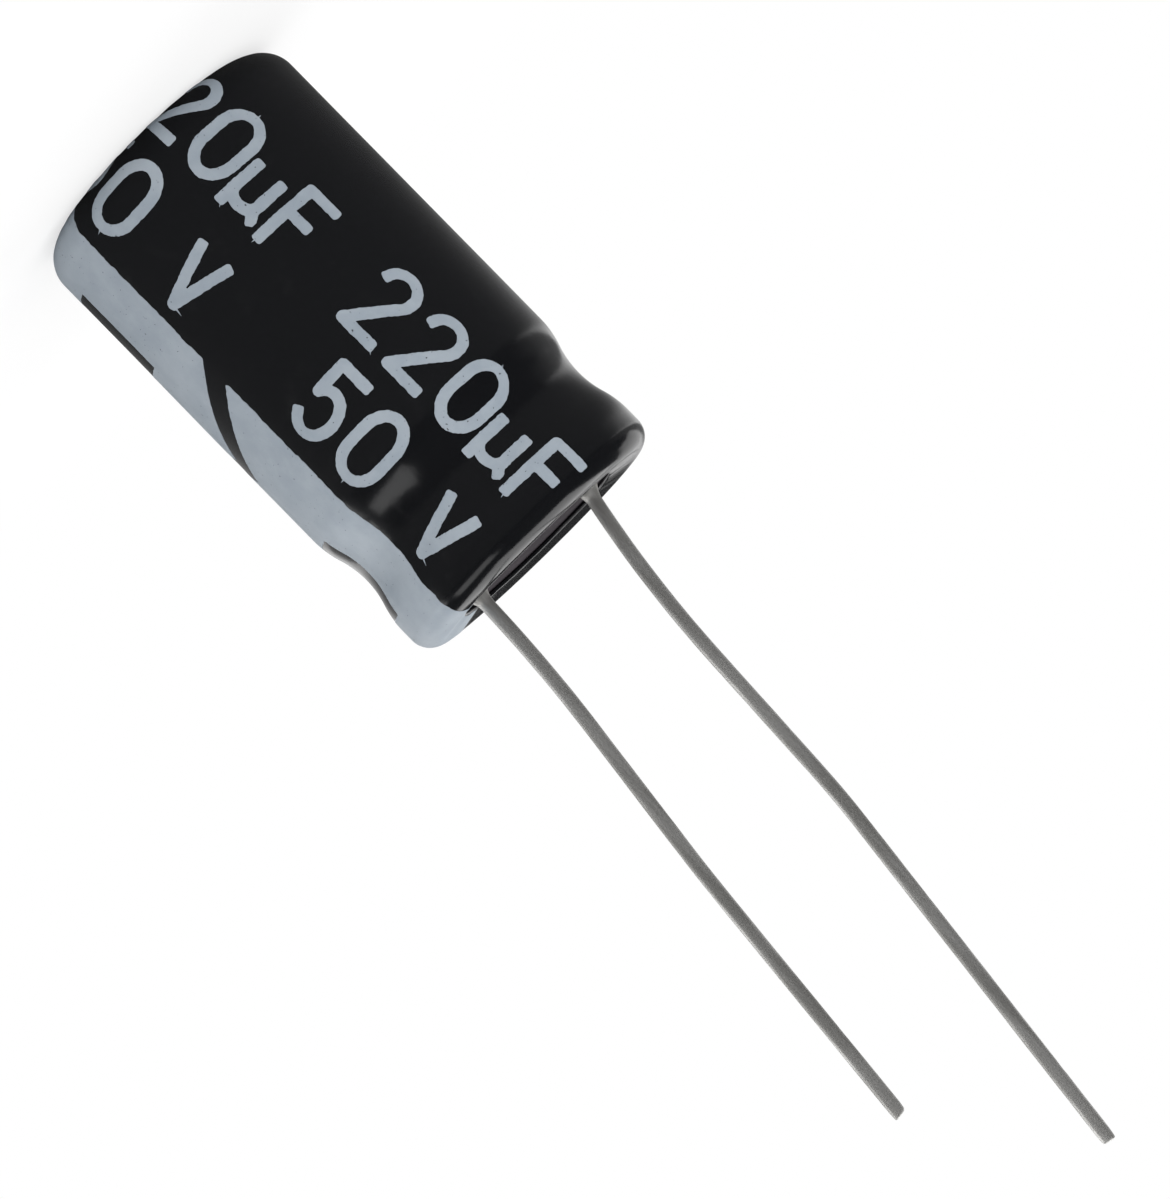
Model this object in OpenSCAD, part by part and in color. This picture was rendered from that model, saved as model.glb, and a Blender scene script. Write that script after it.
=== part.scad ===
// Radial aluminium electrolytic capacitor with long leads, standing on its closed end.
// The origin is the middle of the ring that it stands on, and +Z runs along the leads.
// The negative lead and the polarity stripe are on the +X side, the positive lead on the -X side.

/* [Can] */
// Outside diameter of the can
can_d = 10; // [8.5:0.1:12.5]
// Height of the can, from its closed end to the top of the rolled rim
can_h = 17.74; // [15:0.01:25]
// Thickness of the can's sheet
can_wall = 0.3; // [0.2:0.01:0.4]
// Outside radius of the corner at the closed end
end_corner_r = 0.95; // [0.6:0.05:1.4]
// How far the rolled rim stays inside the can's own outside radius
rim_step = 0.04; // [0:0.01:0.1]
// Outside radius of the rim's roll, seen in section
curl_r = 0.6; // [0.5:0.01:0.7]
// Distance from the top of the rim down to the middle of the bead
bead_drop = 3.05; // [2.95:0.05:3.4]
// Depth of the bead that grips the bung
bead_depth = 0.7; // [0.5:0.05:0.8]
// Width of the bead along the can, with its soft shoulders
bead_w = 4.22; // [3.6:0.02:4.6]

/* [Vent score] */
// Length of each scored line across the closed end
vent_len = 5.6; // [3:0.1:6]
// Width of a scored line at the surface
vent_w = 0.3; // [0.15:0.05:0.4]
// Depth of a scored line
vent_depth = 0.12; // [0.05:0.01:0.15]

/* [Sleeve] */
// Thickness of the shrunk sleeve
sleeve_t = 0.15; // [0.1:0.01:0.2]
// Diameter of the opening that the sleeve leaves on the closed end
end_hole_d = 7.4; // [6.4:0.1:7.6]
// Diameter of the opening that the sleeve leaves on the bung
lip_hole_d = 6.6; // [6.2:0.1:7]
// Slope of the sleeve's lip from the rim down to the bung, in degrees
lip_slope = 8; // [2:1:12]
// Depth of the sleeve's soft waist, where it spans the bead from shoulder to shoulder
waist_depth = 0.34; // [0.2:0.01:0.42]

/* [Polarity stripe] */
// Angle that the stripe takes round the sleeve, in degrees
stripe_deg = 75.5; // [50:0.5:90]
// Thickness of the printed ink
ink_t = 0.02; // [0.01:0.005:0.04]
// Height at which the ink starts, on the closed end's corner
ink_start = 0.35; // [0.2:0.05:0.8]
// Length of a minus bar along the can
minus_len = 3.35; // [2:0.05:4]
// Width of a minus bar
minus_w = 1.8; // [0.6:0.1:2.4]
// Height of the first minus bar's lower end
minus_start = 1.95; // [1.4:0.05:3]
// Distance from one minus bar to the next
minus_pitch = 11.2; // [9:0.1:11.5]
// Height of the arrow-shaped gap's tip
arrow_tip = 10.2; // [9.5:0.1:12]
// Width of the arrow-shaped gap along the can
arrow_w = 1; // [0.5:0.1:1.5]
// Rise of the arrow's sides for each millimetre across the stripe
arrow_rise = 0.85; // [0.4:0.05:1]

/* [Rubber bung] */
// Height of the bung
bung_h = 4.6; // [4.5:0.05:5.5]
// Diameter of each bore's narrow mouth, where the wire comes out
mouth_d = 1.2; // [1:0.05:1.4]

/* [Leads] */
// Distance between the two leads at the bung
lead_pitch = 5; // [4.8:0.05:5.1]
// Diameter of the lead wire
wire_d = 0.5; // [0.4:0.05:0.6]
// Diameter of the weld bead that joins the wire to its tab
weld_d = 1.1; // [0.9:0.05:1.1]
// Depth of the weld under the face of the bung
weld_depth = 0.8; // [0.6:0.05:1.2]
// Radius of the hollow curve with which the wire widens into its weld
flare_r = 1; // [0.8:0.1:1.4]
// Straight end of the negative wire
negative_tail = 8.5; // [4:0.1:20]
// Straight end of the positive wire, which is the longer one
positive_tail = 12.8; // [8:0.1:24]

/* [Tabs] */
// Diameter of the tab's round shank in the bung
shank_d = 1.5; // [1.3:0.05:1.6]
// Width of the tab's flat tongue in the winding
tongue_w = 1.6; // [1.2:0.05:1.8]
// Thickness of the tab's flat tongue
tongue_t = 0.2; // [0.15:0.01:0.25]

/* [Winding] */
// Diameter of the hole that the winding mandrel leaves
core_d = 1.4; // [1:0.1:2]
// Thickness of the etched anode foil
anode_t = 0.11; // [0.09:0.01:0.13]
// Thickness of the cathode foil
cathode_t = 0.05; // [0.03:0.01:0.07]
// Thickness of the separator paper
paper_t = 0.06; // [0.04:0.01:0.08]
// Thickness of the closing tape
tape_t = 0.06; // [0.04:0.01:0.1]
// How far the paper stands past the foils at each end
paper_overhang = 0.6; // [0.3:0.05:1]
// Room between the winding and the can's wall
winding_side_gap = 0.2; // [0.1:0.05:0.5]
// Height of the winding over the can's floor
winding_lift = 0.25; // [0.2:0.05:0.5]
// Room between the winding and the bung, where the tabs come out
tab_room = 1.2; // [1:0.05:1.6]

/* [Hidden] */

$fn = 96;
// Clearance between pieces that lie against each other
fit_gap = 0.01;
// Play between neighbouring turns of the winding
turn_gap = 0.005;
// How far a cutting shape reaches past what it cuts
cut_over = 1;
// How far the bead's hollow arc cuts into its shoulders, so that the arcs cross and don't only touch
hollow_bite = 0.0005;
// Shape of each wire: how far its root is off the tab's centre, how many degrees it leans outwards
// there, its two straight runs before the tail, and the radius of the slight bend after each run
negative_root = 0.08;
negative_lean = 1.9;
negative_run_1 = 1.2;
negative_radius_1 = 50;
negative_run_2 = 4.4;
negative_radius_2 = 90;
positive_root = -0.12;
positive_lean = -10.7;
positive_run_1 = 0.8;
positive_radius_1 = 42;
positive_run_2 = 4.7;
positive_radius_2 = 37;
// Each wire as straight run, turn outwards in degrees after it, and bend radius
negative_bends = [[negative_run_1, 5.1, negative_radius_1], [negative_run_2, -1.9, negative_radius_2],
                  [negative_tail, 0, 0]];
positive_bends = [[positive_run_1, 8.2, positive_radius_1], [positive_run_2, -4, positive_radius_2],
                  [positive_tail, 0, 0]];
// Half the width of the wire's flare where it leaves the bung
flare_half = 0.38;
// How far the flare reaches down into the weld bead, and the bead stays under the bung's face
flare_sink = 0.25;
weld_sink = 0.05;
// A bend is a hair thinner than the straight runs, which reach a little way over its ends
bend_thinning = 0.002;
bend_overlap = 0.1;
// Space above the winding and under the bung that the flattened neck of a tab keeps clear
neck_gap = 0.15;
// How far a tab's shank and tongue run into its neck
neck_lap = 0.02;

can_r = can_d / 2;
rim_r = can_r - rim_step;
skin = sleeve_t + fit_gap;
can_floor = skin;
can_top = can_floor + can_h;
bead_z = can_top - bead_drop;
curl_x = rim_r - curl_r;
curl_z = can_top - curl_r;
lip_r = lip_hole_d / 2;
face_z = skirt_z(lip_r, 0) - fit_gap;
bung_z = face_z - bung_h;
shank_top = face_z - weld_depth;
wire_r = wire_d / 2;

core_r = core_d / 2;
turn_pitch = 2 * paper_t + anode_t + cathode_t + 4 * turn_gap;
anode_at = paper_t + turn_gap;
outer_paper_at = anode_at + anode_t + turn_gap;
cathode_at = outer_paper_at + paper_t + turn_gap;
// The turn after which the tabs lie, counted in half turns, chosen to bring the tongues under their shanks
tab_half_turn = 2 * round((lead_pitch / 2 - tongue_t / 2 - core_r - outer_paper_at) / turn_pitch);
tab_turn_r = core_r + (tab_half_turn / 2 - 1) * turn_pitch;
// Room that a flat tongue needs between two round turns
tab_step = ceil(100 * (tongue_t + sagitta(tab_turn_r, tongue_w) + 2 * turn_gap)) / 100;
positive_tongue_x = core_r + tab_half_turn * turn_pitch / 2 + outer_paper_at;
negative_tongue_x = core_r + (tab_half_turn + 1) * turn_pitch / 2;
winding_r = can_r - can_wall - winding_side_gap;
turns = floor((winding_r - tape_t - tab_step - core_r) / turn_pitch) - 1;
winding_z = can_floor + can_wall + winding_lift;
winding_h = bung_z - tab_room - winding_z;

// Height of an arc of radius r over its chord w
function sagitta(r, w) = r - sqrt(r * r - w * w / 4);

// Height, at radius x, of the cone that slopes from the rim down to the bung, inset by i
function skirt_z(x, i) =
    curl_z + (curl_r - i) / cos(lip_slope) - (curl_x - x) * tan(lip_slope);

// Distance of a wound strip from the axis after e half turns: it steps out by a tab once it has passed one
function strip_r(at, e, step_at) =
    core_r + at + e * turn_pitch / 2 + (e >= step_at ? tab_step : 0);

// Groove that the bead makes, cut from a profile that is inset by i: a hollow arc between two rounded
// shoulders. Its depth and width are those on the surface that is inset by groove_on.
module bead_groove(i, depth, groove_on) {
    arc_r = (bead_w * bead_w / 4 + depth * depth) / (4 * depth);
    hollow_x = can_r - groove_on - depth + arc_r;
    o = i - groove_on;
    translate([hollow_x, 0]) circle(r = arc_r + o + hollow_bite);
    for (side = [-1, 1]) {
        wall_r = (side > 0 ? rim_r : can_r) - groove_on;
        fall = wall_r - hollow_x + arc_r;
        reach = sqrt(4 * arc_r * fall - fall * fall);
        meet = reach * (arc_r + o) / (2 * arc_r);
        mirror([0, side > 0 ? 0 : 1]) difference() {
            translate([wall_r - arc_r, meet]) square([arc_r + cut_over, reach - meet]);
            translate([wall_r - arc_r, reach]) circle(r = arc_r - o);
        }
    }
}

// Profile of the drawn cup up to the middle of its rim's roll, inset by i from the can's outside
module cup_profile(i, depth, groove_on) {
    corner = end_corner_r - i;
    foot = can_floor + i;
    difference() {
        union() {
            translate([0, foot]) square([can_r - i - corner, corner]);
            translate([can_r - i - corner, foot + corner]) circle(r = corner);
            translate([0, foot + corner]) square([can_r - i, bead_z - foot - corner]);
            translate([0, bead_z]) square([rim_r - i, curl_z - bead_z]);
        }
        translate([0, bead_z]) bead_groove(i, depth, groove_on);
    }
}

// Profile over the rolled rim, with the cone that slopes from it down to the bung, inset by i
module crown_profile(i) {
    roll = curl_r - i;
    translate([curl_x, curl_z]) circle(r = roll);
    polygon([
        [0, curl_z],
        [curl_x, curl_z],
        [curl_x - roll * sin(lip_slope), curl_z + roll * cos(lip_slope)],
        [0, skirt_z(0, i)]
    ]);
}

module can_profile(i) {
    cup_profile(i, bead_depth, 0);
}

module sleeve_profile(i) {
    cup_profile(i, waist_depth, -skin);
    crown_profile(i);
}

// Deep-drawn cup, its rim rolled over so that the edge presses on the bung's shoulder
module can() {
    color("silver") difference() {
        rotate_extrude() {
            difference() {
                can_profile(0);
                can_profile(can_wall);
            }
            translate([curl_x, curl_z]) intersection() {
                difference() {
                    circle(r = curl_r);
                    circle(r = curl_r - can_wall);
                }
                translate([-curl_r, 0]) square([2 * curl_r, curl_r]);
            }
        }
        for (turn = [0, 90]) rotate([0, 0, turn]) vent_line();
    }
}

// One V-shaped scored line across the outside of the closed end
module vent_line() {
    translate([-vent_len / 2, 0, can_floor]) rotate([90, 0, 90]) linear_extrude(vent_len)
        polygon([[-vent_w / 2, 0], [-vent_w / 2, -cut_over], [vent_w / 2, -cut_over], [vent_w / 2, 0],
                 [0, vent_depth]]);
}

// Heat-shrunk tube that laps over both ends of the can
module sleeve() {
    color("black") rotate_extrude() difference() {
        sleeve_profile(-skin);
        sleeve_profile(-fit_gap);
        square([end_hole_d / 2, can_floor]);
        translate([0, curl_z]) square([lip_r, 2 * curl_r]);
    }
}

// Ink on the sleeve along the negative side, with the arrow and the minus bars left open
module polarity_stripe() {
    color("lightsteelblue") difference() {
        rotate([0, 0, -stripe_deg / 2]) rotate_extrude(angle = stripe_deg) difference() {
            sleeve_profile(-skin - ink_t);
            sleeve_profile(-skin);
            translate([0, -cut_over]) square([can_d, cut_over + ink_start]);
            translate([0, curl_z]) square([lip_r, 2 * curl_r]);
        }
        through_stripe() arrow_gap();
        for (k = [0, 1]) through_stripe()
            translate([-minus_w / 2, minus_start + k * minus_pitch]) square([minus_w, minus_len]);
    }
}

// Cuts a shape, drawn across the can and along it, through the side with the stripe
module through_stripe() {
    rotate([90, 0, 90]) linear_extrude(can_d) children();
}

module arrow_gap() {
    low = arrow_tip - arrow_rise * can_r;
    polygon([[-can_r, low], [0, arrow_tip], [can_r, low],
             [can_r, low - arrow_w], [0, arrow_tip - arrow_w], [-can_r, low - arrow_w]]);
}

// Rubber bung: the bead bites into its side, the rolled rim presses on its shoulder, and a raised
// middle fills the opening. Each bore narrows to a mouth over the weld.
module seal_bung() {
    color("dimgray") difference() {
        rotate_extrude() {
            intersection() {
                can_profile(can_wall + fit_gap);
                translate([0, bung_z]) square([can_r, curl_z - fit_gap - bung_z]);
            }
            translate([0, bung_z]) square([curl_x - curl_r - fit_gap, bung_h]);
        }
        for (side = [-1, 1]) translate([side * lead_pitch / 2, 0, 0]) {
            translate([0, 0, bung_z - cut_over])
                cylinder(d = shank_d + 2 * fit_gap, h = shank_top - bung_z + cut_over);
            translate([0, 0, bung_z]) cylinder(d = mouth_d, h = bung_h + cut_over);
        }
    }
}

// Weld bead in the bung's mouth, and the wire that grows out of it and is bent on its way
module lead(root, lean, bends) {
    translate([lead_pitch / 2, 0, 0]) {
        translate([0, 0, shank_top]) cylinder(d = weld_d, h = weld_depth - weld_sink);
        translate([root, 0, face_z]) rotate([0, lean, 0]) {
            wire_root(bends[0][0]);
            wire_from(bends, 0);
        }
    }
}

// First straight run of a wire, widened at its foot by a hollow curve
module wire_root(run) {
    centre_x = wire_r + flare_r;
    flare_h = sqrt(flare_r * flare_r - pow(centre_x - flare_half, 2));
    rotate_extrude() {
        square([wire_r, run + bend_overlap]);
        translate([0, -flare_sink]) square([flare_half, flare_sink]);
        difference() {
            square([flare_half, flare_h]);
            translate([centre_x, flare_h]) circle(r = flare_r);
        }
    }
}

// Rest of a wire from its k-th run on, drawn from the run's start along +Z. A turn above zero bends it
// towards +X.
module wire_from(bends, k) {
    run = bends[k][0];
    turn = bends[k][1];
    radius = bends[k][2];
    over = turn == 0 ? 0 : bend_overlap;
    if (k > 0) translate([0, 0, -bend_overlap]) cylinder(r = wire_r, h = run + bend_overlap + over);
    if (turn != 0) {
        side = sign(turn);
        translate([side * radius, 0, run]) mirror([side < 0 ? 1 : 0, 0, 0]) rotate([90, 0, 180])
            rotate_extrude(angle = abs(turn)) translate([radius, 0]) circle(r = wire_r - bend_thinning);
        translate([side * radius * (1 - cos(turn)), 0, run + radius * sin(abs(turn))])
            rotate([0, turn, 0]) wire_from(bends, k + 1);
    }
}

module negative_lead() {
    color("lightgray") lead(negative_root, negative_lean, negative_bends);
}

module positive_lead() {
    color("lightgray") rotate([0, 0, 180]) lead(positive_root, positive_lean, positive_bends);
}

// Aluminium tab: a round shank in the bung, pressed flat below it into a tongue between two turns
module tab(tongue_x) {
    neck_z = winding_z + winding_h + neck_gap;
    neck_h = tab_room - 2 * neck_gap;
    shank_z = neck_z + neck_h - neck_lap;
    translate([lead_pitch / 2, 0, shank_z]) cylinder(d = shank_d, h = shank_top - shank_z);
    intersection() {
        translate([lead_pitch / 2, 0, neck_z]) cylinder(d = shank_d, h = neck_h);
        translate([0, can_r, neck_z]) rotate([90, 0, 0]) linear_extrude(can_d)
            polygon([[tongue_x, 0], [tongue_x + tongue_t, 0],
                     [(lead_pitch + shank_d) / 2, neck_h], [(lead_pitch - shank_d) / 2, neck_h]]);
    }
    translate([tongue_x, -tongue_w / 2, winding_z + paper_overhang])
        cube([tongue_t, tongue_w, neck_z + neck_lap - winding_z - paper_overhang]);
}

module negative_tab() {
    color("gainsboro") tab(negative_tongue_x);
}

module positive_tab() {
    color("gainsboro") rotate([0, 0, 180]) tab(positive_tongue_x);
}

// A strip wound from one half turn to another as half rings, whose centres step from side to side so
// that each runs smoothly into the next. margin is how far its edges stay inside the winding's ends.
module wound_strip(at, thick, margin, first, last, step_at) {
    rotate([0, 0, 180]) for (e = [first : last - 1]) {
        start_r = strip_r(at, e, step_at);
        end_r = strip_r(at, e + 1, step_at);
        side = e % 2 == 0 ? 1 : -1;
        translate([side * (start_r - end_r) / 2, 0, winding_z + margin])
            rotate([0, 0, 90 - side * 90]) rotate_extrude(angle = 180)
                translate([(start_r + end_r) / 2, 0]) square([thick, winding_h - 2 * margin]);
    }
}

module inner_separator() {
    color("wheat") wound_strip(0, paper_t, 0, 0, 2 * turns, tab_half_turn + 1);
}

module anode_foil() {
    color("darkgray") wound_strip(anode_at, anode_t, paper_overhang, 0, 2 * turns, tab_half_turn + 1);
}

module outer_separator() {
    color("wheat") wound_strip(outer_paper_at, paper_t, 0, 0, 2 * turns, tab_half_turn);
}

module cathode_foil() {
    color("lightgray") wound_strip(cathode_at, cathode_t, paper_overhang, 0, 2 * turns, tab_half_turn);
}

// Tape that goes once round the last turn
module winding_tape() {
    color("khaki")
        wound_strip(0, tape_t, paper_overhang, 2 * turns, 2 * turns + 2, tab_half_turn);
}

can();
sleeve();
polarity_stripe();
seal_bung();
positive_lead();
negative_lead();
positive_tab();
negative_tab();
inner_separator();
anode_foil();
outer_separator();
cathode_foil();
winding_tape();
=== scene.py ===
import bpy
import math
import numpy as np
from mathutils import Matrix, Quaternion, Vector, noise


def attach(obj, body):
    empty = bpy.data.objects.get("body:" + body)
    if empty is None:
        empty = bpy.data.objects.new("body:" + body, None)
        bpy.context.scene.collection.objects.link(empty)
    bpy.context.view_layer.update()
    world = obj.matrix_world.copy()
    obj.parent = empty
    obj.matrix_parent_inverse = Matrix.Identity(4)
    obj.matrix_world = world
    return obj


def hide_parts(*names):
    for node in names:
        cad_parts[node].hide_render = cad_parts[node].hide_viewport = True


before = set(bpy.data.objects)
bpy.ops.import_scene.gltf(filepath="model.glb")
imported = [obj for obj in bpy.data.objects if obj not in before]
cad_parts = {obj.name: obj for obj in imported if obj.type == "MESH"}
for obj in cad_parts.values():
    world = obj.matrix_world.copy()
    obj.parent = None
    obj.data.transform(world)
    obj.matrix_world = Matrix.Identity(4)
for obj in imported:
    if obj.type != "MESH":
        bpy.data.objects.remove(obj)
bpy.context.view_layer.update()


# Camera
# The part stands on its closed end. The camera looks at it almost level, from a little above, and is
# rolled until the leads run to the lower right of the picture.
MM = 0.001
eye = Vector((25.094, -157.200, 28.660)) * MM
look_at = Vector((0.099, 0.614, 20.224)) * MM
lead_lean = math.radians(135.614)
camera = bpy.data.objects.new("camera", bpy.data.cameras.new("camera"))
camera.data.sensor_width = 36
camera.data.lens = 147.96
camera.data.clip_start = 0.01
camera.data.clip_end = 10
camera.rotation_mode = "QUATERNION"
camera.location = eye
camera.rotation_quaternion = (look_at - eye).to_track_quat("-Z", "Y") @ Quaternion((0, 0, 1), lead_lean)
bpy.context.scene.collection.objects.link(camera)
bpy.context.scene.camera = camera
bpy.context.scene.view_settings.view_transform = "Standard"


# Floor, backdrop and lamps
# A plain pale floor under soft studio lamps. The white behind the part is only what the camera and
# mirror-like surfaces see; it adds no light to the part.
class Shade:
    """One socket in a tree of shader nodes. Arithmetic on it adds Math nodes."""

    def __init__(self, tree, socket=None):
        self.tree = tree
        self.socket = socket

    def node(self, kind, settings=(), sockets=(), out=0):
        """New node of that type: its settings are set first, then its sockets' values or links."""
        made = self.tree.nodes.new(kind)
        for name, value in dict(settings).items():
            setattr(made, name, value)
        for name, value in dict(sockets).items():
            if isinstance(value, Shade):
                self.tree.links.new(value.socket, made.inputs[name])
            else:
                made.inputs[name].default_value = value
        return Shade(self.tree, made.outputs[out]) if made.outputs else None

    def math(self, operation, *values):
        return self.node("ShaderNodeMath", {"operation": operation}, enumerate(values))

    def __add__(self, other):
        return self.math("ADD", self, other)

    def __radd__(self, other):
        return self.math("ADD", other, self)

    def __sub__(self, other):
        return self.math("SUBTRACT", self, other)

    def __rsub__(self, other):
        return self.math("SUBTRACT", other, self)

    def __mul__(self, other):
        return self.math("MULTIPLY", self, other)

    def __rmul__(self, other):
        return self.math("MULTIPLY", other, self)

    def step(self, low, high):
        """0 below low and 1 above high, with a smooth rise between them."""
        return self.node("ShaderNodeMapRange", {"interpolation_type": "SMOOTHSTEP"},
                         {"Value": self, "From Min": low, "From Max": high})

    def blend(self, first, second):
        """Colour that goes from first to second as this value goes from 0 to 1."""
        return self.node("ShaderNodeMix", {"data_type": "RGBA"}, {0: self, 6: first, 7: second}, out=2)


def stage_tree(tree):
    tree.nodes.clear()
    return Shade(tree)


floor_mesh = bpy.data.meshes.new("floor")
floor_size = 3.0
# The floor lies a hair below the part, so that the two don't share a face.
floor_z = -0.012 * MM
floor_corners = [(x * floor_size, y * floor_size, floor_z) for x, y in ((-1, -1), (1, -1), (1, 1), (-1, 1))]
floor_mesh.from_pydata(floor_corners, [], [(0, 1, 2, 3)])
floor = bpy.data.objects.new("floor", floor_mesh)
bpy.context.scene.collection.objects.link(floor)
floor_material = bpy.data.materials.new("floor_paper")
floor_material.use_nodes = True
paper = stage_tree(floor_material.node_tree)
place = paper.node("ShaderNodeTexCoord", out="Object")
distance = paper.node("ShaderNodeVectorMath", {"operation": "LENGTH"}, {0: place}, out="Value")
seen = paper.node("ShaderNodeLightPath", out="Is Camera Ray")
mirrored = paper.node("ShaderNodeLightPath", out="Is Glossy Ray")
refracted = paper.node("ShaderNodeLightPath", out="Is Transmission Ray")
paper_tone = mirrored.blend((0.86, 0.86, 0.86, 1), (0.09, 0.09, 0.09, 1))
plain = paper.node("ShaderNodeBsdfDiffuse", {}, {"Color": paper_tone})
white = paper.node("ShaderNodeEmission", {}, {"Color": (1, 1, 1, 1), "Strength": 1.0})
behind = paper.node("ShaderNodeSeparateXYZ", {}, {0: place}, out="Y").step(0.01, 0.25)
backdrop_part = seen * (0.70 + distance.step(0.006, 0.040) * 0.30) + (mirrored + refracted) * behind
paper.node("ShaderNodeOutputMaterial", {}, {
    "Surface": paper.node("ShaderNodeMixShader", {}, {0: backdrop_part, 1: plain, 2: white})})
floor.data.materials.append(floor_material)

world = bpy.data.worlds.new("studio")
bpy.context.scene.world = world
world.use_nodes = True
room = stage_tree(world.node_tree)
toward = room.node("ShaderNodeTexCoord", out="Generated")
toward_x = room.node("ShaderNodeSeparateXYZ", {}, {0: toward}, out="X")
toward_y = room.node("ShaderNodeSeparateXYZ", {}, {0: toward}, out="Y")
toward_z = room.node("ShaderNodeSeparateXYZ", {}, {0: toward}, out="Z")
aside = toward_x.math("ABSOLUTE", toward_x).step(0.14, 0.40)
band_middle = (1 - toward_z.step(0.10, 0.21)) * (1 - aside) * 0.85
band_sides = (1 - toward_z.step(0.16, 0.30)) * aside * 0.20
mirror_level = 0.03 + toward_y.step(-0.25, 0.60) * (band_middle + band_sides)
is_camera = room.node("ShaderNodeLightPath", out="Is Camera Ray")
is_mirror = room.node("ShaderNodeLightPath", out="Is Glossy Ray")
is_glass = room.node("ShaderNodeLightPath", out="Is Transmission Ray")
ambient = 0.55
level = is_camera + (is_mirror + is_glass) * mirror_level + (1 - is_camera - is_mirror - is_glass) * ambient
room.node("ShaderNodeOutputWorld", {}, {
    "Surface": room.node("ShaderNodeBackground", {}, {"Color": (1, 1, 1, 1), "Strength": level})})


can_middle = Vector((0, 0, 0.010))


def softbox(name, direction, away, width, height, radiance, lights=True, mirrored=True):
    """Area lamp that faces the can's middle, given by the brightness of its face. With lights off it
    shows only in gloss. With mirrored off it lights the part and shows in no gloss."""
    lamp = bpy.data.lights.new(name, "AREA")
    lamp.shape = "RECTANGLE"
    lamp.size = width
    lamp.size_y = height
    lamp.energy = radiance * math.pi * width * height
    box = bpy.data.objects.new(name, lamp)
    direction = Vector(direction).normalized()
    box.location = can_middle + direction * away
    box.rotation_mode = "QUATERNION"
    box.rotation_quaternion = direction.to_track_quat("Z", "Y")
    box.visible_diffuse = lights
    box.visible_glossy = mirrored
    bpy.context.scene.collection.objects.link(box)


softbox("window", (0.77, -0.39, 0.475), 0.26, 0.20, 0.09, 1.4)
softbox("overhead_card", (0.0, 0.31, 0.95), 0.30, 0.31, 0.37, 2.6, lights=False)
softbox("left_rim_card", (-0.55, 0.73, 0.41), 0.30, 0.25, 0.14, 1.0, lights=False)
softbox("right_rim_card", (0.55, 0.73, 0.41), 0.30, 0.25, 0.14, 1.0, lights=False)
softbox("overhead", (0.0, 0.55, 0.85), 0.30, 0.34, 0.16, 2.0, mirrored=False)
softbox("side_card", (0.91, 0.41, 0.06), 0.30, 0.20, 0.17, 2.5, lights=False)
softbox("front_fill", (-0.15, -0.80, 0.60), 0.34, 0.30, 0.22, 3.0, mirrored=False)
softbox("left_fill", (-0.85, 0.10, 0.45), 0.34, 0.22, 0.22, 1.6, mirrored=False)
softbox("back_fill", (0.35, 0.85, 0.45), 0.36, 0.26, 0.22, 2.2, mirrored=False)


# Sleeve
# A black PVC tube is slipped over the finished can and shrunk with hot air. It follows the can's
# corner, spans the bead as a soft waist, laps over the rolled rim and the closed end, and its cut
# edges stay a little uneven.
can_r = 5.0
sleeve_wall = 0.15
sleeve_skin = 0.16
foot_r = 0.95 + sleeve_skin
rim_r = can_r - 0.04
curl_r = 0.6
curl_z = 17.30
bead_z = 14.85
bead_w = 4.22
waist_depth = 0.34
waist_from = 12.70
waist_to = 16.98
lip_slope = math.radians(8)
lip_r = 3.3
ring_r = 3.7


def waist_radius(z, inset):
    """Radius of the sleeve's wall at height z, with inset measured inwards from its outside."""
    arc = (bead_w ** 2 / 4 + waist_depth ** 2) / (4 * waist_depth)
    hollow_x = can_r + sleeve_skin - waist_depth + arc
    wall = (can_r if z < bead_z else rim_r) + sleeve_skin
    fall = wall - hollow_x + arc
    reach = math.sqrt(4 * arc * fall - fall * fall)
    off = abs(z - bead_z)
    if off >= reach:
        return wall - inset
    if off < reach * (arc + inset) / (2 * arc):
        return hollow_x - math.sqrt((arc + inset) ** 2 - off ** 2)
    return wall - arc + math.sqrt((arc - inset) ** 2 - (reach - off) ** 2)


def sleeve_line(inset):
    """Points (length along the sleeve, radius, height) from the closed end's cut edge to the lip's."""
    line = []
    corner_x = can_r + sleeve_skin - foot_r
    roll = curl_r + sleeve_skin
    for x in np.linspace(ring_r, corner_x, 6)[:-1]:
        line.append((foot_r - foot_r * math.pi / 2 - (corner_x - x), x, inset))
    for turn in np.linspace(math.pi / 2, 0, 25)[:-1]:
        line.append((foot_r - foot_r * turn, corner_x + (foot_r - inset) * math.cos(turn),
                     foot_r - (foot_r - inset) * math.sin(turn)))
    heights = np.concatenate([np.linspace(foot_r, waist_from, 48)[:-1],
                              np.linspace(waist_from, waist_to, 44)[:-1],
                              np.linspace(waist_to, curl_z, 5)[:-1]])
    line += [(z, waist_radius(z, inset), z) for z in heights]
    full = math.pi / 2 + lip_slope
    for turn in np.linspace(0, full, 29)[:-1]:
        line.append((curl_z + roll * turn, rim_r - curl_r + (roll - inset) * math.cos(turn),
                     curl_z + (roll - inset) * math.sin(turn)))
    top_x = rim_r - curl_r - (roll - inset) * math.sin(lip_slope)
    top_z = curl_z + (roll - inset) * math.cos(lip_slope)
    for x in np.linspace(top_x, lip_r, 10):
        line.append((curl_z + roll * full + (top_x - x) / math.cos(lip_slope), x,
                     top_z - (top_x - x) * math.tan(lip_slope)))
    return np.array(line)


outer_line = sleeve_line(0)
sleeve_from, sleeve_to = outer_line[0, 0], outer_line[-1, 0]
tangent = np.gradient(outer_line[:, 1:], axis=0)
tangent /= np.linalg.norm(tangent, axis=1)[:, None]
outward = np.stack([tangent[:, 1], -tangent[:, 0]], axis=1)


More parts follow.
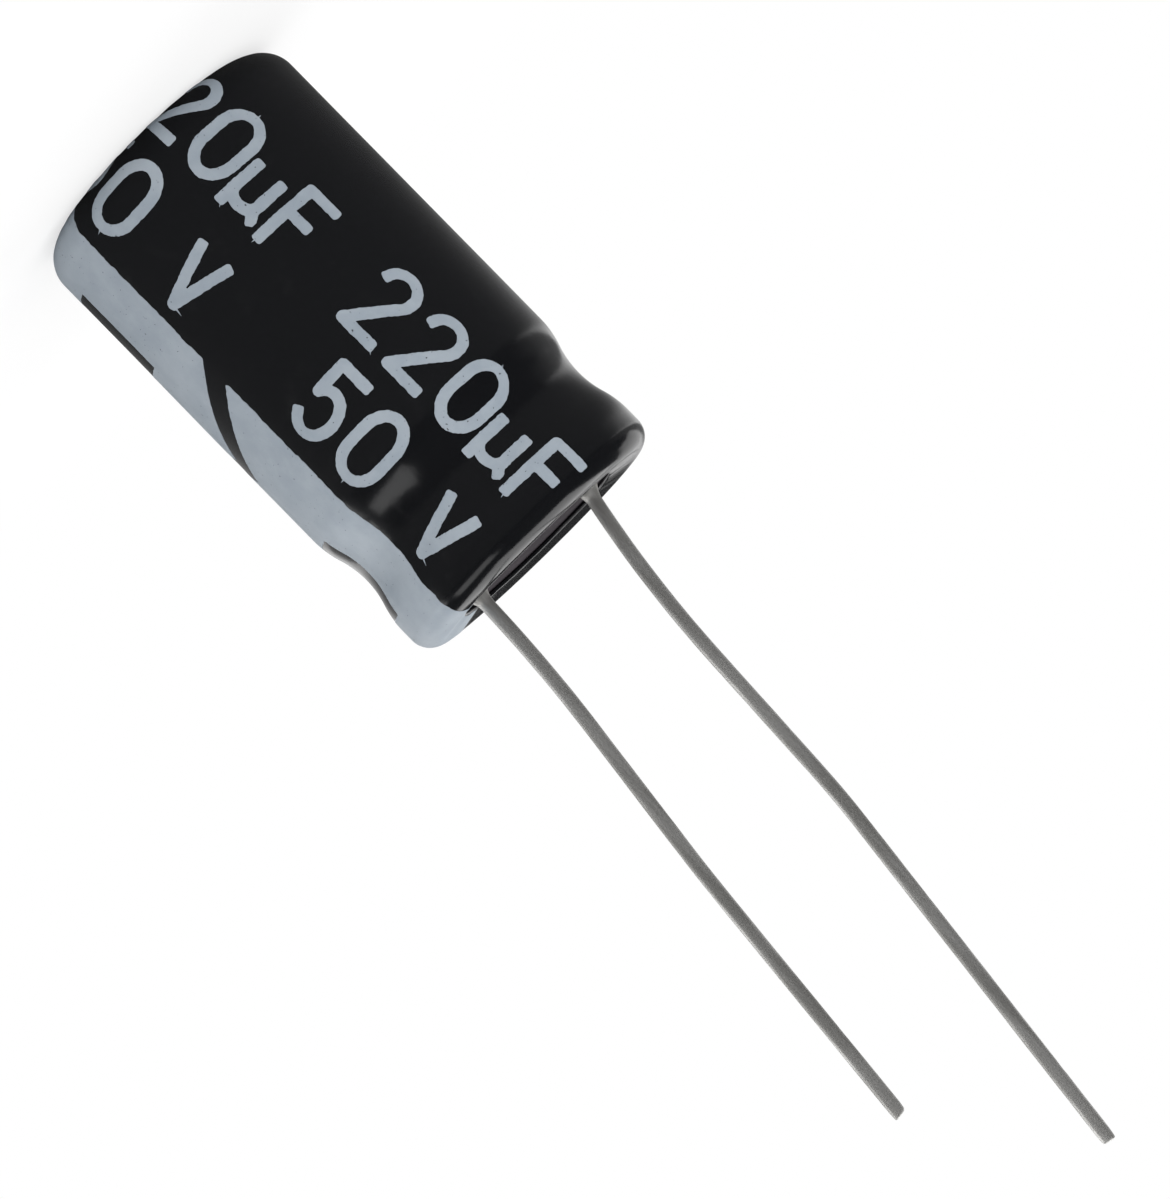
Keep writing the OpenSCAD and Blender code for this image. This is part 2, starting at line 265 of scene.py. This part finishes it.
def uneven(along, angle):
    """How far heat has left the sleeve's surface proud or low there, in millimetres."""
    c, s = math.cos(angle), math.sin(angle)
    broad = noise.noise(Vector((c * 1.3, s * 1.3, along * 0.22 + 7)))
    near_foot = max(0.0, min(1.0, (1.3 - along) / 1.6))
    near_lip = max(0.0, min(1.0, (along - 18.2) / 0.9))
    pucker = noise.noise(Vector((c * 9, s * 9, along * 0.5)))
    return 0.010 * broad + (0.012 * near_foot + 0.010 * near_lip) * pucker - 0.010


def edge_slip(angle, seed, size):
    """How far a cut edge wanders at that angle, in millimetres."""
    return size * noise.noise(Vector((math.cos(angle) * 1.6, math.sin(angle) * 1.6, seed)))


def on_sleeve(along, angle, lift):
    """Point over the sleeve's outside, given along and round it. Past a cut edge it stays at the edge."""
    r = np.interp(along, outer_line[:, 0], outer_line[:, 1])
    z = np.interp(along, outer_line[:, 0], outer_line[:, 2])
    out_r = np.interp(along, outer_line[:, 0], outward[:, 0])
    out_z = np.interp(along, outer_line[:, 0], outward[:, 1])
    rise = uneven(along, angle) + lift
    r += out_r * rise
    z += out_z * rise
    return (r * math.cos(angle) * MM, r * math.sin(angle) * MM, z * MM)


def add_piece(name, verts, faces):
    """New mesh object that rides on the part's one body."""
    mesh = bpy.data.meshes.new(name)
    mesh.from_pydata(verts, [], faces)
    mesh.validate()
    mesh.polygons.foreach_set("use_smooth", [True] * len(mesh.polygons))
    piece = bpy.data.objects.new(name, mesh)
    bpy.context.scene.collection.objects.link(piece)
    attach(piece, "root")
    return piece


round_steps = 240
edge_steps = 6
edge_r = 0.5 * sleeve_wall
edge_bulge = 0.7
lip_lap = 0.9
lip_wander = 0.11
ring_lap = 0.33
ring_wander = 0.14
inner_line = sleeve_line(sleeve_wall)
sleeve_verts = []
# Each ring of the sleeve: place along it, radius, height, 1 where heat has moved it, and its way out.
shell = [(a, r, z, 1, o) for (a, r, z), o in zip(outer_line, outward)]
lip_end, ring_end = shell[-1], shell[0]
# The cut edges are rounded off over half the sleeve's thickness.
for k in range(1, edge_steps):
    turn = math.pi * k / edge_steps
    shell.append((sleeve_to, lip_end[1] - edge_r * math.sin(turn) * edge_bulge,
                  lip_end[2] - edge_r * (1 - math.cos(turn)), 1, lip_end[4]))
shell += [(a, r, z, 0, (0, 0)) for a, r, z in inner_line[::-1]]
for k in range(1, edge_steps):
    turn = math.pi * k / edge_steps
    shell.append((sleeve_from, ring_end[1] - edge_r * math.sin(turn) * edge_bulge,
                  ring_end[2] + edge_r * (1 + math.cos(turn)), 1, ring_end[4]))
for a, r, z, moves, o in shell:
    # A cut edge wanders in and out, and takes the end of its lap along.
    at_lip = max(0.0, (a - (sleeve_to - lip_lap)) / lip_lap)
    at_ring = max(0.0, (sleeve_from + ring_lap - a) / ring_lap)
    for k in range(round_steps):
        angle = 2 * math.pi * k / round_steps
        rise = uneven(a, angle) * moves
        slip = at_lip * edge_slip(angle, 3.1, lip_wander) + at_ring * edge_slip(angle, 8.4, ring_wander)
        x = r + o[0] * rise + slip
        y = z + o[1] * rise + at_lip * slip * math.tan(lip_slope)
        sleeve_verts.append((x * math.cos(angle) * MM, x * math.sin(angle) * MM, max(y, 0) * MM))
sleeve_faces = []
for i in range(len(shell)):
    low, high = i * round_steps, (i + 1) % len(shell) * round_steps
    for k in range(round_steps):
        n = (k + 1) % round_steps
        sleeve_faces.append((low + k, low + n, high + n, high + k))
sleeve_piece = add_piece("shrink_sleeve", sleeve_verts, sleeve_faces)
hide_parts("sleeve")


def new_material(name):
    """New material and the first Shade of its tree, with the surface's place in millimetres."""
    material = bpy.data.materials.new(name)
    material.use_nodes = True
    material.node_tree.nodes.clear()
    tree = Shade(material.node_tree)
    place = tree.node("ShaderNodeVectorMath", {"operation": "SCALE"},
                      {0: tree.node("ShaderNodeTexCoord", out="Object"), "Scale": 1000.0})
    return material, tree, place


def grain(tree, place, scale, detail=2.0, roughness=0.5, stretch=(1, 1, 1)):
    """Noise from 0 to 1 with that many swirls per millimetre, stretched along X, Y and Z."""
    stretched = tree.node("ShaderNodeVectorMath", {"operation": "MULTIPLY"}, {0: place, 1: stretch})
    return tree.node("ShaderNodeTexNoise", {}, {"Vector": stretched, "Scale": scale, "Detail": detail,
                                               "Roughness": roughness})


def finish_surface(tree, height, depth, sockets):
    """Principled surface with that height map, in millimetres, as its bump."""
    normal = tree.node("ShaderNodeBump", {}, {"Strength": 1.0, "Distance": depth * MM, "Height": height})
    surface = tree.node("ShaderNodeBsdfPrincipled", {}, {**sockets, "Normal": normal})
    tree.node("ShaderNodeOutputMaterial", {}, {"Surface": surface})


sleeve_pvc, pvc, pvc_place = new_material("sleeve_pvc")
peel = grain(pvc, pvc_place, 2.2, 3)
draw_lines = grain(pvc, pvc_place, 3.0, 2, stretch=(1, 1, 0.06))
scuff = grain(pvc, pvc_place, 0.9, 6, 0.7).step(0.56, 0.74)
finish_surface(pvc, peel * 0.7 + draw_lines * 0.3, 0.006, {
    "Base Color": (scuff * 0.6).blend((0.0048, 0.0052, 0.0062, 1), (0.0100, 0.0103, 0.0115, 1)),
    "Roughness": 0.14 + draw_lines * 0.06 + scuff * 0.08,
    "IOR": 1.50,
})
sleeve_piece.data.materials.append(sleeve_pvc)


# Polarity stripe
# A field of blue-grey ink printed along the negative side before the sleeve is shrunk, with an
# arrow-shaped gap and minus bars left open. Ink and sleeve shrink together, so it follows the ends.
ink_lift = 0.009
ink_edge = 0.012
spike_half = 0.06
print_r = can_r + sleeve_skin
stripe_half = print_r * math.radians(37.75)
stripe_cell = 0.085
stripe_stop = 0.05
stripe_margin = 0.1
arrow_tip = 10.2
arrow_slope = 0.79
arrow_cosine = 0.785
arrow_w = 1.0
bar_starts = (1.95, 13.15)
bar_length = 3.35
bar_half = 0.9
lattice = np.random.default_rng(41).random((256, 256))


def ragged(along, across, per_mm):
    """Smooth noise from -1 to 1 over the sleeve, with that many swirls per millimetre."""
    x, y = along * per_mm + 300.3, across * per_mm + 300.7
    i, j = np.floor(x).astype(int), np.floor(y).astype(int)
    u, v = x - i, y - j
    u, v = u * u * (3 - 2 * u), v * v * (3 - 2 * v)
    corner = [[lattice[(i + a) % 256, (j + b) % 256] for b in (0, 1)] for a in (0, 1)]
    low = corner[0][0] * (1 - v) + corner[0][1] * v
    high = corner[1][0] * (1 - v) + corner[1][1] * v
    return 2 * (low * (1 - u) + high * u) - 1


def box_depth(along, across, a0, a1, half):
    """How deep a place is inside a bar from a0 to a1 along the can and half wide to each side."""
    return np.minimum(np.minimum(along - a0, a1 - along), half - np.abs(across))


def stripe_depth(along, across):
    """How deep a place is inside the stripe's ink, in millimetres; below zero there is no ink."""
    rag = 0.030 * ragged(along, across, 5.5) + 0.018 * ragged(along, across, 13)
    depth = stripe_half - np.abs(across) + rag
    tip = arrow_tip - arrow_slope * np.abs(across)
    teeth = 0.05 * np.abs(((across * 4.6) % 1) - 0.5)
    arrow = np.minimum(along - (tip - arrow_w), tip - along - teeth + 0.03) * arrow_cosine
    depth = np.minimum(depth, -(arrow + 0.4 * rag))
    for low in bar_starts:
        bar = box_depth(along, across, low, low + bar_length, bar_half)
        depth = np.minimum(depth, -(bar + 0.5 * rag))
    return depth


class Ink:
    """Vertices and faces of printed ink, in millimetres along and round the sleeve."""

    def __init__(self):
        self.places = []
        self.faces = []

    def spread(self, a0, a1, b0, b1, cell, depth):
        """Fills the part of a rectangle where depth is above zero, cut cleanly along its edge."""
        rows, columns = max(2, int((a1 - a0) / cell) + 1), max(2, int((b1 - b0) / cell) + 1)
        along, across = np.meshgrid(np.linspace(a0, a1, rows), np.linspace(b0, b1, columns), indexing="ij")
        value = depth(along, across)
        value = np.where(np.abs(value) < 1e-4, 1e-4, value)
        known = {}

        def vertex(i, j, m, n):
            key = (i, j, m, n) if (i, j) <= (m, n) else (m, n, i, j)
            if key not in known:
                if (i, j) == (m, n):
                    share = 0
                else:
                    share = value[i, j] / (value[i, j] - value[m, n])
                known[key] = len(self.places)
                self.places.append((along[i, j] + share * (along[m, n] - along[i, j]),
                                    across[i, j] + share * (across[m, n] - across[i, j])))
            return known[key]

        inked = value > 0
        touched = inked[:-1, :-1] | inked[1:, :-1] | inked[1:, 1:] | inked[:-1, 1:]
        for i, j in zip(*np.nonzero(touched)):
            corners = [(i, j), (i, j + 1), (i + 1, j + 1), (i + 1, j)]
            loop = []
            for here, there in zip(corners, corners[1:] + corners[:1]):
                if inked[here]:
                    loop.append(vertex(*here, *here))
                if inked[here] != inked[there]:
                    loop.append(vertex(*here, *there))
            if len(loop) > 2:
                self.faces.append(loop)

    def whisker(self, along, angle, heading, length):
        """A thin spike of ink where the printing pad lifted off an edge."""
        start = len(self.places)
        across, heading = print_r * math.radians(angle), math.radians(heading)
        for run, side in ((0, -spike_half), (0, spike_half), (length, 0)):
            self.places.append((along + run * math.cos(heading) - side * math.sin(heading),
                                across + run * math.sin(heading) + side * math.cos(heading)))
        self.faces.append([start, start + 2, start + 1])

    def piece(self, name):
        """Lays the ink on the sleeve as a mesh, with a thin edge that goes down to the sleeve."""
        verts = [on_sleeve(a, b / print_r, ink_lift) for a, b in self.places]
        edges = {}
        for loop in self.faces:
            for p, q in zip(loop, loop[1:] + loop[:1]):
                edges[p, q] = True
        faces = list(self.faces)
        for p, q in edges:
            if (q, p) not in edges:
                start = len(verts)
                for k, drop in ((p, 0), (q, 0), (q, ink_edge), (p, ink_edge)):
                    a, b = self.places[k]
                    verts.append(on_sleeve(a, b / print_r, ink_lift - drop))
                faces.append((start + 1, start, start + 3, start + 2))
        return add_piece(name, verts, faces)


# The stripe stops just short of the sleeve's two cut edges.
stripe_ink = Ink()
stripe_ink.spread(sleeve_from + stripe_stop, sleeve_to - stripe_stop,
                  -stripe_half - stripe_margin, stripe_half + stripe_margin, stripe_cell, stripe_depth)
stripe_piece = stripe_ink.piece("stripe_print")
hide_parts("polarity_stripe")

print_ink, ink, ink_place = new_material("print_ink")
cloud = grain(ink, ink_place, 0.55, 4, 0.6)
mottle = grain(ink, ink_place, 5.0, 3, 0.65)
pinhole = grain(ink, ink_place, 11.0, 1).step(0.745, 0.765)
thin_ink = cloud.step(0.30, 0.70) * 0.7 + mottle * 0.3
tint = thin_ink.blend((0.245, 0.288, 0.335, 1), (0.330, 0.372, 0.415, 1))
finish_surface(ink, mottle * 0.6 - pinhole * 0.8, 0.006, {
    "Base Color": pinhole.blend(tint, (0.030, 0.033, 0.038, 1)),
    "Roughness": 0.40 + mottle * 0.14,
    "IOR": 1.48,
})
stripe_piece.data.materials.append(print_ink)


# Rating print
# Plain capacitance and voltage figures in the same ink, printed again and again along the tube, so
# that the closed end cuts one set off wherever the tube was cut.
stroke_half = 0.195
cap_h = 2.954
group_pitch = 11.15
text_cell = 0.036
text_margin = 0.08
text_stop = 0.04
text_least = 0.1


def arc_points(x, y, rx, ry, start, end):
    turns = np.radians(np.linspace(start, end, 22))
    return list(zip(x + rx * np.cos(turns), y + ry * np.sin(turns)))


def two(w, h):
    rx = (w - 2 * stroke_half) / 2
    top = arc_points(w / 2, h - stroke_half - rx * 1.05, rx, rx * 1.05, 168, -38)
    return [top + [(stroke_half, stroke_half), (w - stroke_half, stroke_half)]]


def zero(w, h):
    rx = (w - 2 * stroke_half) / 2
    ry = 1.35 * rx
    low = stroke_half + ry
    ring = arc_points(w / 2, h - low, rx, ry, 0, 180) + arc_points(w / 2, low, rx, ry, 180, 360)
    return [ring + ring[:1]]


def five(w, h):
    rx = (w - 2 * stroke_half) / 2
    ry = 0.29 * h
    bowl = arc_points(w / 2, stroke_half + ry, rx, ry, 140, -148)
    return [[(w - stroke_half - 0.08, h - stroke_half), (stroke_half + 0.12, h - stroke_half)] + bowl]


def micro(w, h):
    foot = 0.36
    bowl = arc_points(w / 2 - 0.03, foot + 0.42, w / 2 - stroke_half - 0.03, 0.42, 180, 355)
    right, top = w - stroke_half - 0.06, 0.66 * h - stroke_half
    return [[(stroke_half, 0.16), (stroke_half, top)], bowl, [(right, top), (right, 0.52), (w - 0.10, 0.30)]]


def letter_f(w, h):
    top, middle = h - stroke_half, 0.53 * h
    return [[(stroke_half, stroke_half), (stroke_half, top), (w - stroke_half, top)],
            [(stroke_half, middle), (w - 0.42, middle)]]


def letter_v(w, h):
    return [[(stroke_half, h - stroke_half), (w / 2, stroke_half), (w - stroke_half, h - stroke_half)]]


# Each figure as its strokes, its start along the can, width, height, and the angle of its foot.
first_row, second_row = -85.3, -45.3
figures = [(two, 8.62, 1.62, cap_h, first_row), (two, 10.66, 1.62, cap_h, first_row),
           (zero, 12.60, 1.70, cap_h, first_row), (micro, 14.42, 1.45, cap_h, first_row + 0.6),
           (letter_f, 16.13, 1.42, 2.74, first_row + 1.2),
           (five, 9.60, 1.62, cap_h, second_row), (zero, 11.58, 1.70, cap_h, second_row),
           (letter_v, 15.03, 1.54, 2.55, second_row + 1.9)]


def figure_depth(strokes, start, foot):
    """Depth of a place inside a figure's strokes, whose top points away from the stripe."""
    corner = 0.09
    straight = stroke_half - corner

    def depth(along, across):
        x, y = along - start, foot - across
        nearest = np.full(x.shape, 9.0)
        for line in strokes:
            for k, ((ax, ay), (bx, by)) in enumerate(zip(line, line[1:])):
                length = math.hypot(bx - ax, by - ay) + 1e-9
                dx, dy = (bx - ax) / length, (by - ay) / length
                run = (x - ax) * dx + (y - ay) * dy
                side = np.abs((x - ax) * dy - (y - ay) * dx)
                before, after = np.maximum(-run, 0), np.maximum(run - length, 0)
                # Joints inside a stroke are round; its two ends are cut square, with soft corners.
                past = np.where(before > 0, before, after)
                square = (k == 0) * (before > 0) + (k == len(line) - 2) * (after > 0) > 0
                boxed = np.where(np.minimum(side, past) > straight,
                                 np.hypot(side - straight, past - straight) + straight,
                                 np.maximum(side, past))
                nearest = np.minimum(nearest, np.where(square, boxed, np.hypot(side, past)))
        return stroke_half - nearest + 0.010 * ragged(along, across, 7) + 0.012 * ragged(along, across, 17)

    return depth


rating_ink = Ink()
for shift in (0, -group_pitch):
    for figure, start, width, height, foot_angle in figures:
        start += shift
        foot = print_r * math.radians(foot_angle)
        if start + width < sleeve_from + text_least:
            continue
        rating_ink.spread(max(start - text_margin, sleeve_from + text_stop), start + width + text_margin,
                          foot - height - text_margin, foot + text_margin, text_cell,
                          figure_depth(figure(width, height), start, foot))
# Each spike starts inside a stroke: along the can, angle, heading and length.
spikes = ((15.80, -45.6, 20, 0.42), (12.43, -47.5, 90, 0.34), (16.33, -86.3, 80, 0.33),
          (10.04, -87.5, 40, 0.36), (13.45, -115.9, 250, 0.32), (4.65, -45.6, 10, 0.46),
          (1.28, -47.5, 75, 0.36), (5.18, -86.3, 100, 0.32), (2.30, -115.9, 265, 0.33),
          (3.46, -86.6, 60, 0.34))
for spike in spikes:
    rating_ink.whisker(*spike)
rating_piece = rating_ink.piece("rating_print")
rating_piece.data.materials.append(print_ink)


# Can
# A cup drawn from soft aluminium sheet. Only its closed end shows, inside the ring that the sleeve
# leaves, with the two scored lines along which it vents if the pressure ever rises.
def dress(node, material):
    """Gives a solid that is kept from the CAD its material."""
    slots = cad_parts[node].data.materials
    slots.clear()
    slots.append(material)


can_aluminium, alu, alu_place = new_material("can_aluminium")
across_axis = alu.node("ShaderNodeVectorMath", {"operation": "MULTIPLY"}, {0: alu_place, 1: (1, 1, 0)})
from_axis = alu.node("ShaderNodeVectorMath", {"operation": "LENGTH"}, {0: across_axis}, out="Value")
spun = alu.node("ShaderNodeTexNoise", {"noise_dimensions": "1D"},
                {"W": from_axis, "Scale": 9.0, "Detail": 3.0})
rolled = grain(alu, alu_place, 4.0, 4, 0.6, stretch=(0.12, 1, 1))
dull = grain(alu, alu_place, 0.6, 5, 0.65).step(0.42, 0.72)
finish_surface(alu, rolled * 0.7 + spun * 0.3, 0.005, {
    "Base Color": dull.blend((0.80, 0.81, 0.82, 1), (0.66, 0.67, 0.69, 1)),
    "Metallic": 1.0,
    "Roughness": 0.26 + rolled * 0.12 + dull * 0.14,
})
dress("can", can_aluminium)


# Rubber bung
# A moulded butyl rubber plug. The bead squeezes it against the tabs and the rolled rim holds it down,
# and its moulded face shows inside the lip.
bung_rubber, rubber, rubber_place = new_material("bung_rubber")
moulded = grain(rubber, rubber_place, 7.0, 4, 0.6)
bloom = grain(rubber, rubber_place, 0.8, 4, 0.6).step(0.40, 0.75)
finish_surface(rubber, moulded, 0.012, {
    "Base Color": bloom.blend((0.018, 0.014, 0.018, 1), (0.030, 0.024, 0.029, 1)),
    "Roughness": 0.70 + moulded * 0.20,
    "IOR": 1.52,
    "Specular IOR Level": 0.10,
})
dress("seal_bung", bung_rubber)


# Leads
# Tinned steel-cored wire, butt-welded to the tabs in the bung's two mouths. Each widens a little into
# its weld, carries faint drawing lines and nicks, and ends where it was sheared off.
wire_r = 0.25
lead_x = 2.5
face_z = 17.747
flare_r = 1.0
flare_half = 0.38
around = 28
bead_around = 36
station_step = 0.16


def wire_place(at, root, lean, runs):
    """Place (x, z) and heading of a wire's middle, at a distance from the bung's face along it."""
    x, z, heading = lead_x + root, face_z, math.radians(lean)
    for run, turn, radius in runs:
        if at <= run or not turn:
            return x + at * math.sin(heading), z + at * math.cos(heading), heading
        x, z, at = x + run * math.sin(heading), z + run * math.cos(heading), at - run
        bend, side = math.radians(turn), math.copysign(1, turn)
        part = min(at / radius, abs(bend)) * side
        x += radius * side * (math.cos(heading) - math.cos(heading + part))
        z += radius * side * (math.sin(heading + part) - math.sin(heading))
        heading += part
        if at <= radius * abs(bend):
            return x, z, heading
        at -= radius * abs(bend)


def lead_mesh(side, root, lean, runs, seed, slant, blunt, burr_at):
    """Vertices and faces of one wire and its weld bead, on the side that side gives."""
    verts, faces = [], []

    def skin(base, rings, steps):
        """Faces of a tube over rings of points, with both its ends closed."""
        for i in range(rings - 1):
            low, high = base + i * steps, base + (i + 1) * steps
            for k in range(steps):
                n = (k + 1) % steps
                faces.append((low + k, low + n, high + n, high + k))
        faces.append([base + (rings - 1) * steps + k for k in range(steps)])
        faces.append([base + k for k in reversed(range(steps))])

    length = sum(run + math.radians(abs(turn)) * radius for run, turn, radius in runs)
    flare_h = math.sqrt(flare_r ** 2 - (wire_r + flare_r - flare_half) ** 2)
    tip = [length - b for b in (0.6, 0.5, 0.4, 0.3, 0.22, 0.15, 0.10, 0.07, 0.04, 0.02, 0.008, 0.0)]
    stations = np.concatenate([[-0.25, -0.1], np.linspace(0, flare_h, 12),
                               np.arange(flare_h + station_step, tip[0], station_step), tip])
    for at in stations:
        x, z, heading = wire_place(at, root, lean, runs)
        if at < flare_h:
            radius = wire_r + flare_r - math.sqrt(flare_r ** 2 - (flare_h - max(at, 0)) ** 2)
        else:
            radius = wire_r
        left = length - at
        pinch = max(0.0, 1 - left / 0.5) ** 2
        for k in range(around):
            turn = 2 * math.pi * k / around
            c, s = math.cos(turn), math.sin(turn)
            dent = noise.noise(Vector((c * 0.9 + seed, s * 0.9, at * 0.9)))
            nick = max(0.0, noise.noise(Vector((c * 1.4 + seed * 2, s * 1.4, at * 2.3))) - 0.40)
            burr = math.exp(-((at - 0.14) / 0.09) ** 2) * max(0.0, math.cos(turn - burr_at)) ** 5
            # The shears leave a blunt round edge on one side and a sharp lip on the other.
            edge = max(0.02, 0.055 + (blunt - 0.055) * (0.5 - 0.5 * c))
            lost = edge - math.sqrt(edge ** 2 - max(0.0, edge - left) ** 2)
            r = radius * (1 - 0.10 * pinch) - lost + 0.0045 * dent - 0.035 * nick + 0.05 * burr
            u, v = r * c, r * s * (1 - 0.12 * pinch)
            lean_over = slant * u * max(0.0, 1 - left / 0.6)
            px = x + u * math.cos(heading) + lean_over * math.sin(heading)
            pz = z - u * math.sin(heading) + lean_over * math.cos(heading)
            verts.append((side * px * MM, side * v * MM, pz * MM))
    skin(0, len(stations), around)
    # The weld bead is a low dome in the bung's mouth.
    base = len(verts)
    dome = [(0.55, face_z - 0.8), (0.55, face_z - 0.30), (0.545, face_z - 0.17), (0.52, face_z - 0.105),
            (0.47, face_z - 0.070), (0.40, face_z - 0.052), (0.30, face_z - 0.047), (0.15, face_z - 0.046)]
    for r, z in dome:
        for k in range(bead_around):
            turn = 2 * math.pi * k / bead_around
            lump = noise.noise(Vector((math.cos(turn) * 1.5 + seed, math.sin(turn) * 1.5, z * 6)))
            verts.append((side * (lead_x + (r + 0.010 * lump) * math.cos(turn)) * MM,
                          side * (r + 0.010 * lump) * math.sin(turn) * MM, (z + 0.012 * lump) * MM))
    skin(base, len(dome), bead_around)
    return verts, faces


tinned_wire, tin, tin_place = new_material("tinned_wire")
drawn = grain(tin, tin_place, 5.0, 2, 0.5, stretch=(1, 1, 0.02))
worn = grain(tin, tin_place, 2.6, 3, 0.55, stretch=(1, 1, 0.08)).step(0.40, 0.64)
pits = grain(tin, tin_place, 11.0, 2, 0.5)
weld = 1 - tin.node("ShaderNodeSeparateXYZ", {}, {0: tin_place}, out="Z").step(face_z - 0.03, face_z + 0.10)
tin_colour = (worn * 0.8 + drawn * 0.2).blend((0.56, 0.555, 0.54, 1), (0.36, 0.355, 0.34, 1))
finish_surface(tin, drawn * 0.9 + pits * (0.05 + weld * 0.95), 0.004, {
    "Base Color": weld.blend(tin_colour, (0.30, 0.295, 0.285, 1)),
    "Metallic": 0.80,
    "Roughness": 0.42 + drawn * 0.08 + worn * 0.10 + weld * 0.12,
})
# Each wire as its side, root, lean, runs (length, turn and its radius), seed, slant, blunt edge and burr.
wires = {
    "negative_wire": (1, 0.08, 1.9, [(1.2, 5.1, 50), (4.4, -1.9, 90), (8.5, 0, 0)], 2.3, 0.22, 0.11, -0.6),
    "positive_wire": (-1, -0.12, -10.7, [(0.8, 8.2, 42), (4.7, -4, 37), (12.8, 0, 0)], 5.9, 0.05, 0.10, 2.4),
}
for name, facts in wires.items():
    wire = add_piece(name, *lead_mesh(*facts))
    wire.data.set_sharp_from_angle(angle=math.radians(50))
    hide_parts(name.replace("wire", "lead"))
    wire.data.materials.append(tinned_wire)


# Tabs and winding
# Inside the can: two aluminium tabs riveted to etched foils, wound with paper that is soaked in
# electrolyte, and a turn of tape that holds the winding closed. All of it is sealed from view.
def metal(name, bright, dark, rough, stretch, fine, depth):
    material, tree, place = new_material(name)
    texture = grain(tree, place, fine, 4, 0.65, stretch=stretch)
    finish_surface(tree, texture, depth, {
        "Base Color": texture.step(0.35, 0.65).blend(bright, dark),
        "Metallic": 1.0,
        "Roughness": rough + texture * 0.15,
    })
    return material


separator_paper, fibre, fibre_place = new_material("separator_paper")
fibres = grain(fibre, fibre_place, 6.0, 5, 0.7, stretch=(1, 1, 0.3))
damp = grain(fibre, fibre_place, 0.4, 3).step(0.35, 0.65)
finish_surface(fibre, fibres, 0.02, {
    "Base Color": (fibres * 0.5 + damp * 0.5).blend((0.74, 0.66, 0.50, 1), (0.56, 0.48, 0.34, 1)),
    "Roughness": 0.55 + fibres * 0.25 - damp * 0.15,
})
tape_film, film, film_place = new_material("tape_film")
ripple = grain(film, film_place, 1.5, 3, stretch=(1, 1, 0.4))
finish_surface(film, ripple, 0.01, {
    "Base Color": ripple.step(0.3, 0.7).blend((0.60, 0.46, 0.22, 1), (0.68, 0.55, 0.30, 1)),
    "Roughness": 0.30 + ripple * 0.2,
})
tab_metal = metal("tab_aluminium", (0.80, 0.81, 0.82, 1), (0.70, 0.71, 0.73, 1),
                  rough=0.25, stretch=(1, 1, 0.08), fine=6.0, depth=0.006)
anode_metal = metal("anode_aluminium", (0.50, 0.50, 0.49, 1), (0.38, 0.38, 0.37, 1),
                    rough=0.60, stretch=(1, 1, 1), fine=12.0, depth=0.010)
cathode_metal = metal("cathode_aluminium", (0.66, 0.66, 0.66, 1), (0.56, 0.56, 0.56, 1),
                      rough=0.45, stretch=(1, 1, 1), fine=9.0, depth=0.006)
for node, material in (("positive_tab", tab_metal), ("negative_tab", tab_metal), ("anode_foil", anode_metal),
                       ("cathode_foil", cathode_metal), ("inner_separator", separator_paper),
                       ("outer_separator", separator_paper), ("winding_tape", tape_film)):
    dress(node, material)
